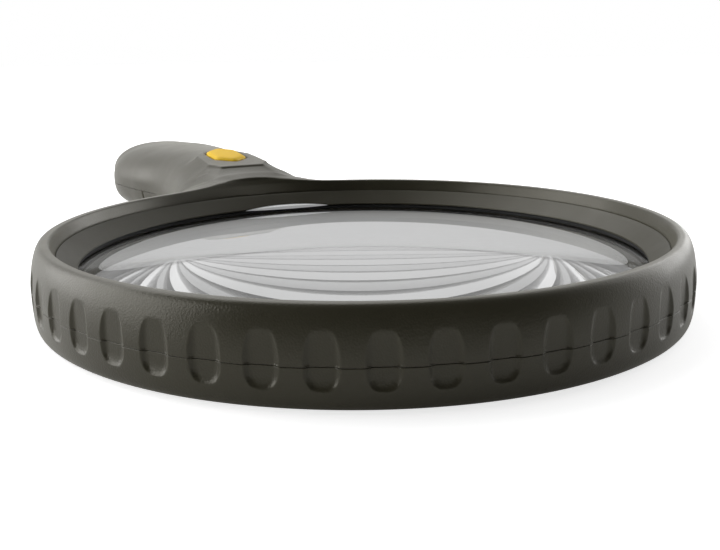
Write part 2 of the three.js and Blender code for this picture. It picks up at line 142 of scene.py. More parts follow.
RIM_OUTLINE = [(-20, 0), (76.6, 0)] + lower_rim_curve() + upper_rim_curve()[1:] + [(-20, 19.7)]
WELL_OUTLINE = [
    (-20, -20), (72.5, -20), (72.5, 0), (69.9, 6.4), (69.9, 7.5), (73.3, 7.5), (73.3, 8), (73.6, 8),
    (73.6, 12.1), (75.1, 12.1), (75.1, 16.7), (76.1, 19.4), (76.5, 25), (76.5, 50), (-20, 50),
]
rim_field = OutlineField(RIM_OUTLINE, (54, -6), (96, 36))
well_field = OutlineField(WELL_OUTLINE, (54, -6), (96, 36))


def button_outline(margin=0.0, steps=10):
    corners = [np.array((x * (1 + margin / 5.7), y * (1 + margin / 8.5))) for x, y in BUTTON_CORNERS]
    points = []
    for i, corner in enumerate(corners):
        start = corner + 0.2 * (corners[i - 1] - corner)
        end = corner + 0.2 * (corners[(i + 1) % 6] - corner)
        for t in np.linspace(0, 1, steps):
            points.append(tuple((1 - t) ** 2 * start + 2 * t * (1 - t) * corner + t * t * end))
    return points


button_field = OutlineField(button_outline(), (-22, -26), (22, 26))
shelf_field = OutlineField(
    [(10.5, -12), (9.5, 3), (4, 10.5), (-4, 10.5), (-9.5, 3), (-10.5, -12), (-7.5, -17), (7.5, -17)],
    (-24, -40), (24, 40), 0.2,
)


def superellipse_distance(u, v, a, b, power):
    """First-order distance to |u/a|^power + |v/b|^power = 1."""
    pu, pv = np.abs(u) / a + 1e-6, np.abs(v) / b + 1e-6
    q = (pu ** power + pv ** power) ** (1 / power)
    slope_u = (pu / q) ** (power - 1) / a
    slope_v = (pv / q) ** (power - 1) / b
    return (q - 1) / np.sqrt(slope_u ** 2 + slope_v ** 2)


def through(points, y):
    """Smooth curve through (y, value) points, constant beyond its ends."""
    at, value = np.array(points, float).T
    slope = np.zeros(len(at))
    slope[1:-1] = (value[2:] - value[:-2]) / (at[2:] - at[:-2])
    y = np.clip(y, at[0], at[-1])
    i = np.clip(np.searchsorted(at, y, side="right") - 1, 0, len(at) - 2)
    h = at[i + 1] - at[i]
    t = (y - at[i]) / h
    return (
        value[i] * (2 * t ** 3 - 3 * t ** 2 + 1) + value[i + 1] * (3 * t ** 2 - 2 * t ** 3)
        + slope[i] * h * (t ** 3 - 2 * t ** 2 + t) + slope[i + 1] * h * (t ** 3 - t ** 2)
    )


TABLE_Y = np.arange(50, 220, 0.1)
TABLE_WIDTH = through(HALF_WIDTH, TABLE_Y)
TABLE_TOP = through(TOP_HEIGHT, TABLE_Y)


def handle_distance(x, y, z, inset=0.0):
    end = HANDLE_END - inset
    into = np.clip((y - end + BUTT_LENGTH) / BUTT_LENGTH, 0, 1)
    shrink = np.maximum(1 - into ** BUTT_POWER, 0) ** (1 / BUTT_POWER)
    width = np.maximum((np.interp(y, TABLE_Y, TABLE_WIDTH) - inset) * shrink, 0.05)
    top = np.interp(y, TABLE_Y, TABLE_TOP) - inset
    middle = (top + inset) / 2
    height = np.maximum((middle - inset) * shrink, 0.05)
    power = np.where(z > middle, SECTION_POWER, UNDERSIDE_POWER)
    across = superellipse_distance(x, z - middle, width, height, power)
    return np.maximum(across, y - end + 0.02)


def seam_height(y):
    t = np.clip((y - 86) / 18, 0, 1)
    return RIM_SEAM + (HANDLE_SEAM - RIM_SEAM) * t


def in_button_frame(y, z):
    dy, dz = y - BUTTON_Y, z - BUTTON_Z
    return dy * BUTTON_COS + dz * BUTTON_SIN, dz * BUTTON_COS - dy * BUTTON_SIN


def pocket_wall(x, y, z):
    """Radius that the thumb pockets leave of the rim at each point."""
    angle = np.degrees(np.arctan2(x, -y)) - POCKET_OFFSET
    number = np.clip(np.round(angle / POCKET_PITCH), -POCKETS_EACH_SIDE, POCKETS_EACH_SIDE)
    along = np.radians(angle - number * POCKET_PITCH) * RIM_RADIUS
    edge = superellipse_distance(along, z - POCKET_Z, POCKET_HALF_WIDTH, POCKET_HALF_HEIGHT, 3.0)
    fade = np.clip((7 - z) / 4.5, 0, 1)
    floor = POCKET_FLOOR_R + 0.6 * fade * fade * (3 - 2 * fade)
    return floor + smooth_max(edge + 0.95, np.zeros_like(edge), 0.35) * 0.75


def outer_distance(x, y, z):
    """The closed housing: rim with its pockets, blended into the handle, less the lens opening."""
    radius = np.hypot(x, y)
    rim = rim_field(radius, z)
    rim = smooth_max(rim, radius - pocket_wall(x, y, z), 0.12)
    blend = 1.2 + 7 * np.clip((radius - 78) / 5, 0, 1)
    handle = np.maximum(handle_distance(x, y, z), 55 - y)
    body = smooth_max(smooth_min(rim, handle, blend), -z, 0.4)
    depth = 26.1 + (y - BUTTON_Y) * 0.07 - z
    edge = shelf_field(x, y - BUTTON_Y)
    shelf = smooth_max(edge, -depth, 0.5)
    fall = 0.5 + np.clip((y - 88) / 8, 0, 1)
    skirt = (fall * np.maximum(edge, 0) - depth + 0.5) / np.hypot(fall, 1)
    shelf = np.maximum(smooth_min(shelf, smooth_max(skirt, edge - 7, 3), 0.4), depth - 5)
    body = smooth_min(body, shelf, 2.8)
    turn = np.degrees(np.arctan2(x, y))
    swell = 2.4 * np.cos(np.clip(np.abs(turn) / 22, 0, 1) * math.pi / 2) ** 2 * np.clip((z - 16.7) / 3, 0, 1.4)
    well = well_field(radius - swell, z)
    return smooth_max(body, -well, 0.6)


def hollow_distance(x, y, z):
    """The space inside the housing: handle, rim channel and light bay, less the screw bosses."""
    radius = np.hypot(x, y)
    channel = np.maximum(CHANNEL_INNER_R - radius, radius - CHANNEL_OUTER_R)
    channel = np.maximum(channel, np.maximum(CHANNEL_FLOOR_Z - z, z - CHANNEL_ROOF_Z))
    inside = np.maximum(handle_distance(x, y, z, WALL), 85.5 - y)
    turn = np.radians(np.degrees(np.arctan2(x, y)) - WINDOW_TURN)
    roof = np.where(radius < 80.5, 15.4, 16.6)
    bay = np.maximum(np.maximum(74 - radius, radius - 88), np.maximum(12 - z, z - roof))
    bay = np.maximum(bay, (np.abs(turn) - math.radians(13)) * radius)
    hollow = np.minimum(np.minimum(channel, inside), bay)
    for sx, sy in HANDLE_SCREWS:
        hollow = np.maximum(hollow, SCREW_BOSS_R - np.hypot(x - sx, y - sy))
    return hollow


def neck_distance(x, y, z):
    """Housing wall near the handle, with the button's well, closed just past the neck."""
    along, up = in_button_frame(y, z)
    groove = np.maximum(0.6 - np.abs(y - DOOR_LINE), 0) * np.clip((seam_height(y) + 0.4 - z) / 0.8, 0, 1)
    wall = smooth_max(outer_distance(x, y, z) + groove, -hollow_distance(x, y, z), 0.15)
    well = np.maximum(button_field(x, along) - 0.35, -up - 8)
    wall = smooth_max(wall, -well, 0.7)
    notch = np.maximum(np.hypot(x, along - 11.7) - 1.25, -up - 3)
    wall = np.maximum(wall, -notch)
    limit = math.radians(NECK_ANGLE + 1.5)
    return np.maximum(wall, np.abs(x) * math.cos(limit) - y * math.sin(limit))


def settled(points, distance, rounds=3):
    """Points moved onto the zero surface of a distance field."""
    h = 0.02
    for _ in range(rounds):
        x, y, z = points.T
        value = distance(x, y, z)
        slope = np.stack([
            distance(x + h, y, z) - value,
            distance(x, y + h, z) - value,
            distance(x, y, z + h) - value,
        ], 1) / h
        move = slope * (value / np.maximum((slope ** 2).sum(1), 0.05))[:, None]
        length = np.linalg.norm(move, axis=1, keepdims=True)
        points = points - move * np.minimum(1, 0.4 / np.maximum(length, 1e-9))
    return points


def surface_net(distance, low, high, step):
    """Quads on the zero surface of a distance field, with one vertex in each cell that it crosses."""
    axes = [np.arange(a, b, step) for a, b in zip(low, high)]
    field = np.concatenate([
        distance(*np.meshgrid(part, axes[1], axes[2], indexing="ij"))
        for part in np.array_split(axes[0], 12)
    ])
    inside = field < 0
    corners = [(i, j, k) for i in (0, 1) for j in (0, 1) for k in (0, 1)]
    nx, ny, nz = field.shape
    count = sum(
        inside[i:nx - 1 + i, j:ny - 1 + j, k:nz - 1 + k].astype(np.int8) for i, j, k in corners
    )
    mixed = (count > 0) & (count < 8)
    index = np.full(mixed.shape, -1)
    index[mixed] = np.arange(mixed.sum())
    cells = np.argwhere(mixed)
    value = {c: field[tuple((cells + c).T)] for c in corners}
    total, hits = np.zeros((len(cells), 3)), np.zeros(len(cells))
    for axis in range(3):
        for c in [c for c in corners if c[axis] == 0]:
            d = tuple(c[i] + (i == axis) for i in range(3))
            crossed = (value[c] < 0) != (value[d] < 0)
            spot = np.tile(np.array(c, float), (len(cells), 1))
            with np.errstate(divide="ignore", invalid="ignore"):
                spot[:, axis] = value[c] / (value[c] - value[d])
            total[crossed] += spot[crossed]
            hits += crossed
    vertices = np.array(low) + (cells + total / hits[:, None]) * step
    quads = []
    for axis in range(3):
        one, two = (axis + 1) % 3, (axis + 2) % 3
        near, far = [slice(1, -1)] * 3, [slice(1, -1)] * 3
        near[axis], far[axis] = slice(0, -1), slice(1, None)
        first, second = inside[tuple(near)], inside[tuple(far)]
        edges = np.argwhere(first != second)
        outward = first[tuple(edges.T)]
        edges[:, one] += 1
        edges[:, two] += 1
        ring = []
        for back_one, back_two in ((0, 0), (1, 0), (1, 1), (0, 1)):
            cell = edges.copy()
            cell[:, one] -= back_one
            cell[:, two] -= back_two
            ring.append(index[tuple(cell.T)])
        quad = np.stack(ring, 1)
        quads.append(np.where(outward[:, None], quad, quad[:, ::-1]))
    return vertices, np.concatenate(quads)


# ---- mesh helpers ----

def mesh_object(name, vertices, faces, sharp=40):
    mesh = bpy.data.meshes.new(name)
    placed = (np.asarray(vertices, float) + (0, AXIS_Y, 0)) * MM
    mesh.from_pydata(placed.tolist(), [], [list(f) for f in faces])
    mesh.validate()
    mesh.polygons.foreach_set("use_smooth", [True] * len(mesh.polygons))
    mesh.set_sharp_from_angle(angle=math.radians(sharp))
    piece = bpy.data.objects.new(name, mesh)
    bpy.context.scene.collection.objects.link(piece)
    return piece


def joined(parts):
    """One (vertices, faces) from several."""
    vertices, faces, start = [], [], 0
    for part_vertices, part_faces in parts:
        vertices.append(np.asarray(part_vertices, float))
        faces.extend([[i + start for i in f] for f in part_faces])
        start += len(part_vertices)
    return np.concatenate(vertices), faces


def swept(loops, closed_sweep=True, closed_loop=True, caps=False):
    """Quads over a grid of points: loops[i] is the outline at step i of the sweep."""
    loops = np.asarray(loops, float)
    steps, count = loops.shape[:2]
    faces = []
    for i in range(steps if closed_sweep else steps - 1):
        a, b = i * count, (i + 1) % steps * count
        for j in range(count if closed_loop else count - 1):
            k = (j + 1) % count
            faces.append((a + j, a + k, b + k, b + j))
    if caps:
        faces.append(tuple(range(count)))
        last = (steps - 1) * count
        faces.append(tuple(last + j for j in reversed(range(count))))
    return loops.reshape(-1, 3), faces


def turned(outlines, degrees, **options):
    """Outlines of (radius, height), one for each angle in degrees from the handle."""
    loops = []
    for outline, angle in zip(outlines, degrees):
        a = math.radians(angle)
        loops.append([(r * math.sin(a), r * math.cos(a), z) for r, z in outline])
    return swept(loops, **options)


def rounded(outline, radius=0.2, steps=3):
    """A closed (radius, height) outline with its corners rounded."""
    points = []
    for i, corner in enumerate(outline):
        corner = np.array(corner, float)
        before, after = np.array(outline[i - 1], float), np.array(outline[(i + 1) % len(outline)], float)
        to_before, to_after = before - corner, after - corner
        r1 = min(radius, np.linalg.norm(to_before) * 0.45)
        r2 = min(radius, np.linalg.norm(to_after) * 0.45)
        start = corner + to_before / np.linalg.norm(to_before) * r1
        end = corner + to_after / np.linalg.norm(to_after) * r2
        for t in np.linspace(0, 1, steps):
            points.append(tuple((1 - t) ** 2 * start + 2 * t * (1 - t) * corner + t * t * end))
    return points


def respaced(points, spacing):
    points = np.array(points, float)
    length = np.concatenate([[0], np.cumsum(np.linalg.norm(np.diff(points, axis=0), axis=1))])
    at = np.linspace(0, length[-1], max(2, int(length[-1] / spacing)))
    return [tuple(p) for p in np.stack([np.interp(at, length, points[:, i]) for i in (0, 1)], 1)]


# ---- housing shells ----

def rim_columns():
    """Angles from the handle, close together at the pockets' side edges."""
    offsets = np.array([0, 0.8, 1.4, 1.9, 2.2, 2.35, 2.5, 2.7, 2.9, 3.1, 3.3, 3.42, 3.55, 3.8, 4.3, 4.9])
    offsets = np.degrees(np.concatenate([-offsets[:0:-1], offsets]) / RIM_RADIUS)
    numbers = np.arange(-POCKETS_EACH_SIDE - 1, POCKETS_EACH_SIDE + 2)
    from_front = (POCKET_OFFSET + numbers[:, None] * POCKET_PITCH + offsets[None]).ravel()
    angles = np.sort(180 - from_front)
    angles = angles[(angles > NECK_ANGLE + 0.02) & (angles < 360 - NECK_ANGLE - 0.02)]
    return np.concatenate([[NECK_ANGLE], angles, [360 - NECK_ANGLE]])


def rim_shell(shown, hidden, seam_edge, edge_first):
    """The rim between its two ends at the neck. Only the shown part of the outline carries the pockets."""
    angles = np.radians(rim_columns())
    direction = np.stack([np.sin(angles), np.cos(angles)], 1)
    grid = np.array([[(r * dx, r * dy, z) for r, z in shown] for dx, dy in direction])
    grid = settled(grid.reshape(-1, 3), outer_distance).reshape(grid.shape)
    edge_column = grid[:, 0 if edge_first else -1]
    radius = np.hypot(edge_column[:, 0], edge_column[:, 1])
    edge = np.array([
        [((r - back) * dx, (r - back) * dy, z) for back, z in seam_edge]
        for r, (dx, dy) in zip(radius, direction)
    ])
    rest = np.array([[(r * dx, r * dy, z) for r, z in hidden] for dx, dy in direction])
    order = [edge, grid, rest] if edge_first else [grid, edge, rest]
    return swept(np.concatenate(order, axis=1), closed_sweep=False)


def close_cut(mesh, cut_edges, normal, lift):
    """Faces over the parts of a cut plane that lie in the wall, so that the hollow stays open."""
    across = 2 if abs(normal[2]) > 0.5 else 1
    rim = list({v for e in cut_edges for v in e.verts})
    number = {v: i for i, v in enumerate(rim)}
    flat = [Vector((v.co[0], v.co[3 - across])) for v in rim]
    lines = [tuple(number[v] for v in e.verts) for e in cut_edges]
    _, _, triangles, origins, _, _ = delaunay_2d_cdt(flat, lines, [], 0, 1e-5)
    triangles = [[origins[i][0] for i in t] for t in triangles if all(origins[i] for i in t)]
    centres = np.array([[rim[i].co[:] for i in t] for t in triangles]).mean(axis=1)
    centres[:, 2] += lift * (seam_height(centres[:, 1]) - RIM_SEAM)
    for triangle, depth in zip(triangles, neck_distance(*centres.T)):
        if depth < 0 and len(set(triangle)) == 3:
            face = mesh.faces.new([rim[i] for i in triangle])
            face.normal_update()
            if face.normal.dot(normal) < 0:
                face.normal_flip()


def cut(vertices, faces, point, normal, fill=False, lift=0):
    """The part of a mesh behind a plane, with the wall's cut face closed if asked."""
    mesh = bmesh.new()
    made = [mesh.verts.new(v) for v in np.asarray(vertices, float)]
    for f in faces:
        mesh.faces.new([made[i] for i in f])
    everything = mesh.verts[:] + mesh.edges[:] + mesh.faces[:]
    found = bmesh.ops.bisect_plane(
        mesh, geom=everything, plane_co=point, plane_no=normal, clear_outer=True, dist=1e-4
    )
    if fill:
        edges = [e for e in found["geom_cut"] if isinstance(e, bmesh.types.BMEdge) and e.is_boundary]
        close_cut(mesh, edges, Vector(normal), lift)
    mesh.verts.index_update()
    result = np.array([v.co[:] for v in mesh.verts]), [[v.index for v in f.verts] for f in mesh.faces]
    mesh.free()
    return result


def levelled(vertices, sign):
    """Heights shifted so that the sloping seam lies level, or back again."""
    vertices = np.array(vertices, float)
    vertices[:, 2] -= sign * (seam_height(vertices[:, 1]) - RIM_SEAM)
    return vertices


def neck_ends_cut(vertices, faces):
    a = math.radians(NECK_ANGLE)
    for side in (-1, 1):
        vertices, faces = cut(vertices, faces, (0, 0, 0), (side * math.cos(a), -math.sin(a), 0))
    return vertices, faces


def make_shells():
    upper_z, lower_z = RIM_SEAM + RIM_GAP / 2, RIM_SEAM - RIM_GAP / 2
    seam_edge = [(0.9, 0), (0.12, 0), (0.05, 0.02), (0.01, 0.06), (0.0, 0.12)]
    outside_up = lower_rim_curve(200) + upper_rim_curve(200)[1:]
    shown_up = respaced([p for p in outside_up if p[1] > upper_z + 0.18] + [(76.15, 19.7)], 0.28)
    shown_up += respaced([(76.1, 19.4), (75.1, 16.7)], 0.3)
    shown_up += [(75.1, 16.5), (75.1, 12.3), (75.1, 12.1), (73.6, 12.1)]
    hidden_up = [
        (73.6, upper_z), (CHANNEL_INNER_R, upper_z), (CHANNEL_INNER_R, CHANNEL_ROOF_Z),
        (CHANNEL_OUTER_R, CHANNEL_ROOF_Z), (CHANNEL_OUTER_R, upper_z),
    ]
    edge_up = [(back, upper_z + rise) for back, rise in seam_edge]
    upper_rim = rim_shell(shown_up, hidden_up, edge_up, True)

    outside_low = [p for p in lower_rim_curve(200) if p[1] < lower_z - 0.18]
    shown_low = [(72.6, 0), (74, 0), (76, 0)] + respaced([(76.5, 0)] + outside_low, 0.28)
    hidden_low = [
        (CHANNEL_OUTER_R, lower_z), (CHANNEL_OUTER_R, CHANNEL_FLOOR_Z), (CHANNEL_INNER_R, CHANNEL_FLOOR_Z),
        (CHANNEL_INNER_R, lower_z), (73.6, lower_z), (73.6, 8), (73.3, 8),
        (73.3, 7.5), (69.9, 7.5), (69.9, 6.4), (72.5, 0.1),
    ]
    edge_low = [(back, lower_z - drop) for back, drop in reversed(seam_edge)]
    lower_rim = rim_shell(shown_low, hidden_low, edge_low, False)

    net, quads = surface_net(neck_distance, NET_LOW, NET_HIGH, NET_STEP)
    net = settled(net, neck_distance)
    level = levelled(net, 1)
    up_v, up_f = cut(level, quads, (0, 0, RIM_SEAM + HANDLE_GAP / 2), (0, 0, -1), True, 1)
    low_v, low_f = cut(level, quads, (0, 0, RIM_SEAM - HANDLE_GAP / 2), (0, 0, 1), True, 1)
    upper = joined([upper_rim, neck_ends_cut(levelled(up_v, -1), up_f)])
    low_v = levelled(low_v, -1)
    front = cut(low_v, low_f, (0, DOOR_LINE - DOOR_GAP / 2, 0), (0, 1, 0), True)
    lower = joined([lower_rim, neck_ends_cut(*front)])
    door = cut(low_v, low_f, (0, DOOR_LINE + DOOR_GAP / 2, 0), (0, -1, 0), True)
    return upper, lower, door


upper, lower, door = make_shells()

tongue_loop = rounded([(-4, 2.6), (4, 2.6), (4, 4.1), (-4, 4.1)], 0.4)
tongue = swept(
    [
        [(x * size, y, 3.35 + (z - 3.35) * size) for x, z in tongue_loop]
        for y, size in ((138.5, 0.9), (139.1, 1), (144.5, 1))
    ],
    closed_sweep=False, caps=True,
)
door = joined([door, tongue])

upper_piece = mesh_object("housing_upper_shell", *upper)
lower_piece = mesh_object("housing_lower_shell", *lower)
door_piece = mesh_object("battery_door_cover", *door)

# ---- lens, bezel, gasket and light window ----

ROUND = np.arange(0, 360, 1.0)


def lens_bulge(curve, radius):
    """Height of a spherical face above the lens edge."""
    return math.sqrt(curve ** 2 - radius * radius) - math.sqrt(curve ** 2 - LENS_RADIUS ** 2)


def lens_outline():
    top = [(r, 10.6 + lens_bulge(LENS_TOP_CURVE, r)) for r in np.linspace(72.6, 0.01, 40)]
    base = [(r, 8.0 - lens_bulge(LENS_BASE_CURVE, r)) for r in np.linspace(0.01, 72.8, 40)]
    return base + [(LENS_RADIUS, 8.2), (LENS_RADIUS, 10.4)] + top


lens_piece = mesh_object("lens_polished", *turned([lens_outline()] * 360, ROUND), sharp=30)


def bezel_height(radius):
    return BEZEL_FOOT_Z + (radius - BEZEL_FOOT_R) / BEZEL_WIDTH * BEZEL_RISE


def bezel_radius(height):
    return BEZEL_FOOT_R + (height - BEZEL_FOOT_Z) / BEZEL_RISE * BEZEL_WIDTH


def arch_height(angle):
    """Height of the opening cut for the light window at an angle from the handle."""
    turn = (angle - WINDOW_TURN + 180) % 360 - 180
    return 12.4 + 0.9 * max(0.0, 1 - (abs(turn) / 11.5) ** 2) ** 0.8


def bezel_outline(angle):
    floor = arch_height(angle)
    inner = max(BEZEL_FOOT_R, bezel_radius(floor))
    cone = [(r, bezel_height(r)) for r in np.linspace(74.45, inner + 0.05, 10)]
    return [(inner, floor), (74.8, floor), (75, floor + 0.2), (75, 16.25), (74.85, 16.4)] + cone


bezel_angles = np.unique(np.round(np.concatenate([ROUND, (np.arange(-12, 12, 0.2) + WINDOW_TURN) % 360]), 3))
bezel_piece = mesh_object(
    "bezel_ring_smooth", *turned([bezel_outline(a) for a in bezel_angles], bezel_angles), sharp=35
)

gasket_outline = rounded([(71, 11.1), (73, 10.9), (73, 12.1), (71, 12.1)], 0.15)
gasket_piece = mesh_object("lens_gasket_ring", *turned([gasket_outline] * 360, ROUND))

window_angles = np.linspace(-11.2, 11.2, 67) + WINDOW_TURN
window_outlines = []
for a in window_angles:
    crest = max(12.42, arch_height(a) - 0.06)
    foot = 12.4 - 0.55 * (crest - 12.4) / 0.84
    front = bezel_radius(crest) + 0.1
    window_outlines.append([
        (70.4, foot), (70.9, foot), (71.1, 12.2), (77.5, 12.2), (77.5, crest), (front + 0.6, crest),
        (max(front, 70.6), crest - 0.02), (70.4, min(crest - 0.04, 12.75)),
    ])
window_piece = mesh_object(
    "light_window_moulding", *turned(window_outlines, window_angles, closed_sweep=False, caps=True)
)

# ---- button cap ----

button_rings = [
    (1.2, -4.2), (1.2, -2.6), (0.0, -2.6), (0.0, 0.2), (-0.05, 0.42), (-0.2, 0.62), (-0.9, 1.08), (-1.1, 1.17),
    (-1.6, 1.27), (-2.4, 1.37), (-3.4, 1.44), (-4.4, 1.48), (-5.2, 1.5),
]
button_loops = []
for margin, up in button_rings:
    ring = button_outline(margin, 12)
    button_loops.append([
        (x, BUTTON_Y + along * BUTTON_COS - up * BUTTON_SIN, BUTTON_Z + along * BUTTON_SIN + up * BUTTON_COS)
        for x, along in ring
    ])
button_mesh = swept(button_loops, closed_sweep=False, caps=True)
button_piece = mesh_object("button_cap", button_mesh[0], [f[::-1] for f in button_mesh[1]], sharp=38)


# ---- materials ----

class Nodes:
    """Small helper that adds linked shader nodes to one material."""

    def __init__(self, name, **values):
        self.material = bpy.data.materials.new(name)
        self.material.use_nodes = True
        self.tree = self.material.node_tree
        self.shader = self.tree.nodes["Principled BSDF"]
        for key, value in values.items():
            self.shader.inputs[key.replace("_", " ")].default_value = value
        coordinates = self.tree.nodes.new("ShaderNodeTexCoord")
        self.where = coordinates.outputs["Object"]

    def noise(self, scale, detail=3.0, roughness=0.55, stretch=None):
        where = self.where
        if stretch:
            mapping = self.tree.nodes.new("ShaderNodeMapping")
            mapping.inputs["Scale"].default_value = stretch
            self.tree.links.new(where, mapping.inputs["Vector"])
            where = mapping.outputs["Vector"]
        node = self.tree.nodes.new("ShaderNodeTexNoise")
        node.inputs["Scale"].default_value = scale
        node.inputs["Detail"].default_value = detail
        node.inputs["Roughness"].default_value = roughness
        self.tree.links.new(where, node.inputs["Vector"])
        return node.outputs["Fac"]

    def cells(self, scale, smooth=0.4):
        node = self.tree.nodes.new("ShaderNodeTexVoronoi")
        node.feature = "SMOOTH_F1"
        node.inputs["Scale"].default_value = scale
        node.inputs["Smoothness"].default_value = smooth
        self.tree.links.new(self.where, node.inputs["Vector"])
        return node.outputs["Distance"]

    def ramp(self, fac, low, high, start=0.3, end=0.7):
        node = self.tree.nodes.new("ShaderNodeMapRange")
        node.inputs["From Min"].default_value = start
        node.inputs["From Max"].default_value = end
        node.inputs["To Min"].default_value = low
        node.inputs["To Max"].default_value = high
        self.tree.links.new(fac, node.inputs["Value"])
        return node.outputs["Result"]

    def colours(self, fac, *stops):
        node = self.tree.nodes.new("ShaderNodeValToRGB")
        elements = node.color_ramp.elements
        for element, (position, colour) in zip(elements, (stops[0], stops[-1])):
            element.position = position
            element.color = (*colour, 1)
        for position, colour in stops[1:-1]:
            element = elements.new(position)
            element.color = (*colour, 1)
        self.tree.links.new(fac, node.inputs["Fac"])
        return node.outputs["Color"]

    def link(self, output, key):
        self.tree.links.new(output, self.shader.inputs[key])

    def bump(self, *heights):
        """heights: (output, strength, distance in metres), coarse to fine."""
        before = None
        for output, strength, distance in heights:
            node = self.tree.nodes.new("ShaderNodeBump")
            node.inputs["Strength"].default_value = strength
            node.inputs["Distance"].default_value = distance
            self.tree.links.new(output, node.inputs["Height"])
            if before:
                self.tree.links.new(before, node.inputs["Normal"])
            before = node.outputs["Normal"]
        self.link(before, "Normal")


def shade(colour, factor):
    return tuple(min(1.0, v * factor) for v in colour)


def plastic(name, colour, roughness, grain=0.0, grain_scale=2400, spread=0.08, **values):
    m = Nodes(name, **values)
    blotch = m.noise(26, 4)
    m.link(m.colours(blotch, (0.3, shade(colour, 1 - spread)), (0.7, shade(colour, 1 + spread))), "Base Color")
    m.link(m.ramp(m.noise(90, 3), roughness - 0.04, roughness + 0.05), "Roughness")
    heights = [(m.noise(160, 2), 0.25, 0.00004)]
    if grain:
        heights.append((m.cells(grain_scale), grain, 0.00003))
    heights.append((m.noise(5200, 2), 0.25, 0.00001))
    m.bump(*heights)
    return m.material


def metal(name, colour, roughness, stretch=(1, 1, 12)):
    m = Nodes(name, Metallic=1.0)
    brushed = m.noise(700, 4, stretch=stretch)
    m.link(m.colours(brushed, (0.3, shade(colour, 0.85)), (0.7, shade(colour, 1.05))), "Base Color")
    m.link(m.ramp(m.noise(400, 3), roughness - 0.06, roughness + 0.1), "Roughness")
    m.bump((brushed, 0.3, 0.00001))
    return m.material


def glass(name, **values):
    m = Nodes(name, Transmission_Weight=1.0, **values)
    m.bump((m.noise(30, 2), 0.02, 0.00001))
    return m.material


SHELL = (0.034, 0.031, 0.0175)
materials = {
    "soft_touch_shell": plastic("soft_touch_shell", SHELL, 0.33, grain=0.85, Specular_IOR_Level=0.5,
                                Specular_Tint=(1, 0.97, 0.87, 1), Sheen_Weight=0.3, Sheen_Roughness=0.4,
                                Sheen_Tint=(1, 0.97, 0.87, 1)),
    # The bezel is a shaded copy of the shell plastic, darkened to 0.9: painted shade inside the lens recess.
    "bezel": plastic("bezel_plastic_painted_shade", shade(SHELL, 0.9), 0.38, grain=0.4, Specular_IOR_Level=0.5,
                     Specular_Tint=(1, 0.97, 0.87, 1)),
    "lens": glass("lens_acrylic", Base_Color=(0.985, 0.99, 0.99, 1), Roughness=0.0, IOR=1.49),
    "gasket": plastic("gasket_rubber", (0.012, 0.012, 0.012), 0.75, grain=0.3),
    # The window's emission is a painted glow; the LEDs behind it give no light.
    "window": plastic("window_milky_painted_glow", (0.86, 0.88, 0.88), 0.3, Emission_Color=(1, 1, 1, 1),
                      Emission_Strength=0.15),
    "button": plastic("button_yellow", (1.0, 0.62, 0.02), 0.5, grain=0.25, spread=0.03,
                      Specular_IOR_Level=0.25),
    "screw_steel": metal("screw_nickel", (0.58, 0.57, 0.54), 0.28),
    "circuit_board": plastic("board_green", (0.02, 0.13, 0.05), 0.35, grain=0.1),
    "resistor": plastic("resistor_glaze", (0.25, 0.42, 0.52), 0.25),
    "led": plastic("led_resin", (0.85, 0.84, 0.74), 0.2),
    "plunger": plastic("plunger_nylon", (0.7, 0.7, 0.66), 0.45),
    "moulded_black": plastic("switch_black", (0.015, 0.015, 0.017), 0.5, grain=0.3),
    "spring_steel": metal("spring_wire", (0.62, 0.62, 0.6), 0.22),
    "contact_plate": metal("contact_nickel", (0.66, 0.65, 0.62), 0.32, stretch=(12, 1, 1)),
    "cell_jacket": plastic("cell_foil", (0.012, 0.022, 0.12), 0.22, spread=0.15),
    "red_wire": plastic("wire_red", (0.35, 0.015, 0.012), 0.4, grain=0.1),
    "black_wire": plastic("wire_black", (0.012, 0.012, 0.012), 0.42, grain=0.1),
}


def finish_piece(piece, body, node, slot):
    piece.data.materials.clear()
    piece.data.materials.append(materials[slot])
    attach(piece, body)
    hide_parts(node)


finish_piece(upper_piece, "handset", "upper_housing", "soft_touch_shell")
finish_piece(lower_piece, "handset", "lower_housing", "soft_touch_shell")
finish_piece(door_piece, "door", "battery_door", "soft_touch_shell")
finish_piece(lens_piece, "handset", "main_lens", "lens")
finish_piece(bezel_piece, "handset", "bezel_ring", "bezel")
finish_piece(gasket_piece, "handset", "lens_gasket", "gasket")
finish_piece(window_piece, "handset", "light_window", "window")
finish_piece(button_piece, "button", "push_button", "button")

KEPT = {
    "led_board": "circuit_board", "switch_board": "circuit_board", "light_resistor": "resistor",
    "switch_plunger": "plunger", "switch_body": "moulded_black", "switch_spring": "spring_steel",
    "positive_contact": "contact_plate", "negative_contact": "contact_plate",
    "front_bridge": "contact_plate", "rear_bridge": "contact_plate",
    "front_contact_plate": "moulded_black", "rear_contact_plate": "moulded_black",
    "wire_battery_to_switch": "red_wire", "wire_switch_to_light": "red_wire",
    "wire_light_to_battery": "black_wire",
}
KEPT.update({f"housing_screw_{i}": "screw_steel" for i in range(1, 8)})
KEPT.update({f"led_{i}": "led" for i in range(1, 4)})
KEPT.update({f"battery_cell_{i}": "cell_jacket" for i in range(1, 4)})
KEPT.update({f"cell_spring_{i}": "spring_steel" for i in range(1, 4)})
for node, slot in KEPT.items():
    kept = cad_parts[node]
    kept.data.materials.clear()
    kept.data.materials.append(materials[slot])

# ---- floor, lights and camera ----

bpy.context.scene.view_settings.view_transform = "Standard"
# The picture in the lens is made of many reflections inside it.
LIGHT_BOUNCES = 64
for kind in ("max_bounces", "glossy_bounces", "transmission_bounces"):
    setattr(bpy.context.scene.cycles, kind, LIGHT_BOUNCES)

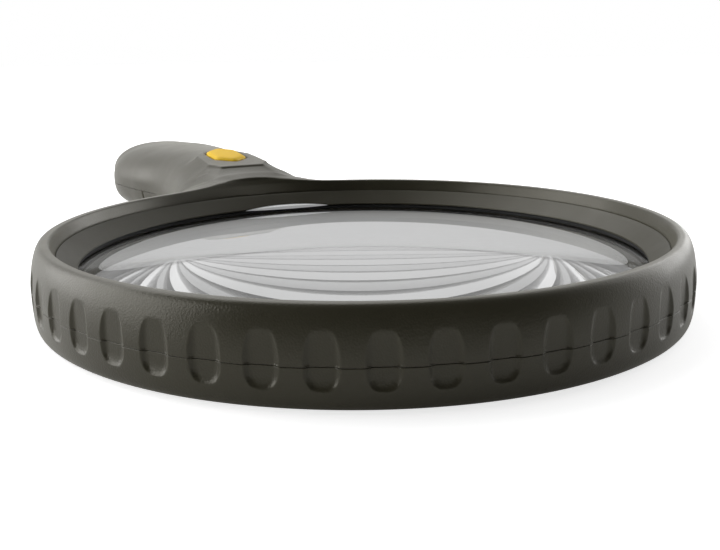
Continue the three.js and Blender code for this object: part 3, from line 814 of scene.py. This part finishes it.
FLOOR_REACH = 6.0
floor_mesh = bpy.data.meshes.new("studio_floor")
floor_corners = [(x * FLOOR_REACH, y * FLOOR_REACH, 0) for x, y in ((-1, -1), (1, -1), (1, 1), (-1, 1))]
floor_mesh.from_pydata(floor_corners, [], [(0, 1, 2, 3)])
floor = bpy.data.objects.new("studio_floor", floor_mesh)
floor.location.z = -0.0003
bpy.context.scene.collection.objects.link(floor)
floor_nodes = Nodes("studio_white", Base_Color=(0.8, 0.8, 0.8, 1), Roughness=0.9, Specular_IOR_Level=0.1)
light_path = floor_nodes.tree.nodes.new("ShaderNodeLightPath")
seen = floor_nodes.ramp(light_path.outputs["Is Camera Ray"], 0.1, 0.75, 0, 1)
through_lens = floor_nodes.ramp(light_path.outputs["Is Transmission Ray"], 0, 0.25, 0, 1)
glow = floor_nodes.tree.nodes.new("ShaderNodeMath")
floor_nodes.tree.links.new(seen, glow.inputs[0])
floor_nodes.tree.links.new(through_lens, glow.inputs[1])
floor_nodes.shader.inputs["Emission Color"].default_value = (1, 1, 1, 1)
floor_nodes.link(glow.outputs["Value"], "Emission Strength")
floor.data.materials.append(floor_nodes.material)

camera_data = bpy.data.cameras.new("camera")
camera_data.sensor_width = 36
camera_data.lens = 45.144
camera_data.clip_start = 0.01
camera_data.clip_end = 50
camera = bpy.data.objects.new("camera", camera_data)
bpy.context.scene.collection.objects.link(camera)
CAMERA_PLACE = Vector((-0.10470, -0.26616, 0.06150))
CAMERA_RIGHT = Vector((0.88800, -0.45968, -0.01193))
CAMERA_UP = Vector((0.12035, 0.20730, 0.97085))
CAMERA_FORWARD = Vector((0.44381, 0.86355, -0.23940))
camera_turn = Matrix((CAMERA_RIGHT, CAMERA_UP, -CAMERA_FORWARD)).transposed()
camera.matrix_world = Matrix.Translation(CAMERA_PLACE) @ camera_turn.to_4x4()
bpy.context.scene.camera = camera


def panel(name, place, target, size, watts):
    data = bpy.data.lights.new(name, "AREA")
    data.shape = "RECTANGLE"
    data.size, data.size_y = size
    data.energy = watts
    lamp = bpy.data.objects.new(name, data)
    lamp.location = place
    lamp.rotation_euler = (Vector(target) - Vector(place)).to_track_quat("-Z", "Y").to_euler()
    lamp.visible_transmission = False
    bpy.context.scene.collection.objects.link(lamp)


panel("top_panel", (-0.15, 0.75, 1.1), (0, 0, 0), (1.5, 0.9), 7)
panel("left_panel", (-1.25, 0.6, 0.45), (0, 0.05, 0), (1.8, 1.1), 18)
panel("right_panel", (1.2, 0.25, 0.35), (0, 0, 0), (1.1, 0.7), 5)

world = bpy.data.worlds.new("studio")
bpy.context.scene.world = world
world.use_nodes = True
studio = world.node_tree


def studio_node(kind, **inputs):
    node = studio.nodes.new("ShaderNode" + kind)
    for key, value in inputs.items():
        target = node.inputs[key.replace("_", " ")]
        if isinstance(value, bpy.types.NodeSocket):
            studio.links.new(value, target)
        else:
            target.default_value = value
    return node


def studio_range(value, start, end, low, high):
    node = studio_node("MapRange", Value=value, From_Min=start, From_Max=end, To_Min=low, To_Max=high)
    node.interpolation_type = "SMOOTHSTEP"
    return node.outputs["Result"]


def studio_math(a, b, operation="ADD"):
    node = studio_node("Math")
    node.operation = operation
    studio.links.new(a, node.inputs[0])
    studio.links.new(b, node.inputs[1])
    return node.outputs["Value"]


# The tent is dim on the side where the picture was taken, plain behind, and brightest at left and right.
CAMERA_HEADING = math.radians(27.2)
direction = studio_node("TexCoord").outputs["Generated"]
around = studio_node("Mapping", Vector=direction, Rotation=(0, 0, CAMERA_HEADING))
split = studio_node("SeparateXYZ", Vector=around.outputs["Vector"])
lean = studio_node("Math", Value=split.outputs["Z"])
lean.operation = "MULTIPLY"
lean.inputs[1].default_value = -0.5
depth = studio_range(studio_math(split.outputs["Y"], lean.outputs["Value"]), -0.6, 0.25, 0.07, 0.62)
sideways = studio_node("Math", Value=split.outputs["X"])
sideways.operation = "ABSOLUTE"
sides = studio_range(sideways.outputs["Value"], 0.3, 0.85, 0.0, 0.35)
behind = studio_range(split.outputs["Y"], -0.2, 0.4, 0.0, 1.0)
lit = studio_math(depth, studio_math(sides, behind, "MULTIPLY"))
camera_ray = studio_node("LightPath").outputs["Is Camera Ray"]
strength = studio_math(lit, studio_range(camera_ray, 0, 1, 0, 1), "MAXIMUM")
studio.links.new(strength, studio.nodes["Background"].inputs["Strength"])
studio.nodes["Background"].inputs["Color"].default_value = (1, 1, 1, 1)
